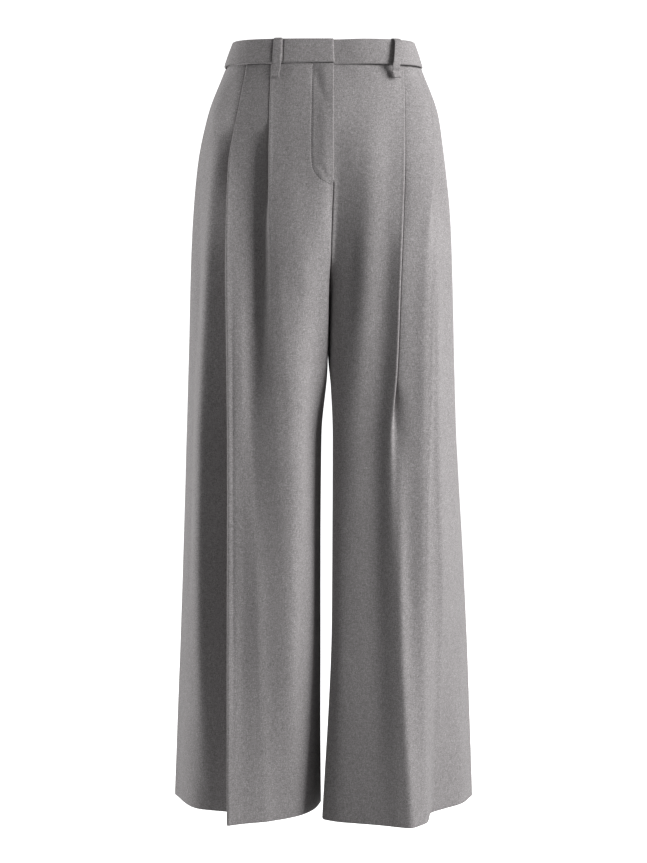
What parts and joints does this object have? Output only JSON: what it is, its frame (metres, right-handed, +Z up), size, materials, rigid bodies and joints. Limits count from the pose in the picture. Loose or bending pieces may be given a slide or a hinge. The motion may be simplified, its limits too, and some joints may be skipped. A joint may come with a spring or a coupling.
{
  "type": "pleated wide-leg trousers",
  "caption": "Hollow worn form of high-waisted wide-leg dress trousers with reverse pleats, a lapped fly front, a waistband and belt loops, open at the waist and at both hems.",
  "frame": {"origin": "centre of the waist opening, level with the waistband's top edge, where the wearer holds the trousers up", "axes": "+Z up, -Y the front, +X the wearer's left"},
  "size_m": [0.4435, 0.2835, 1.099],
  "materials": {
    "wool": "matt grey melange worsted wool",
    "zip_tape": "matt woven tape",
    "steel": "satin"
  },
  "bodies": {
    "root": {"front_right": "wool", "front_left": "wool", "back_right": "wool", "back_left": "wool", "waistband_right": "wool", "waistband_left": "wool", "belt_loop_front_right": "wool", "belt_loop_front_left": "wool", "belt_loop_back_right": "wool", "belt_loop_back_left": "wool", "belt_loop_centre_back": "wool", "fly_zip_tape": "zip_tape", "fly_zip_chain": "steel", "fly_zip_slider": "steel", "waist_hook": "steel", "waist_bar": "steel"}
  },
  "joints": []
}
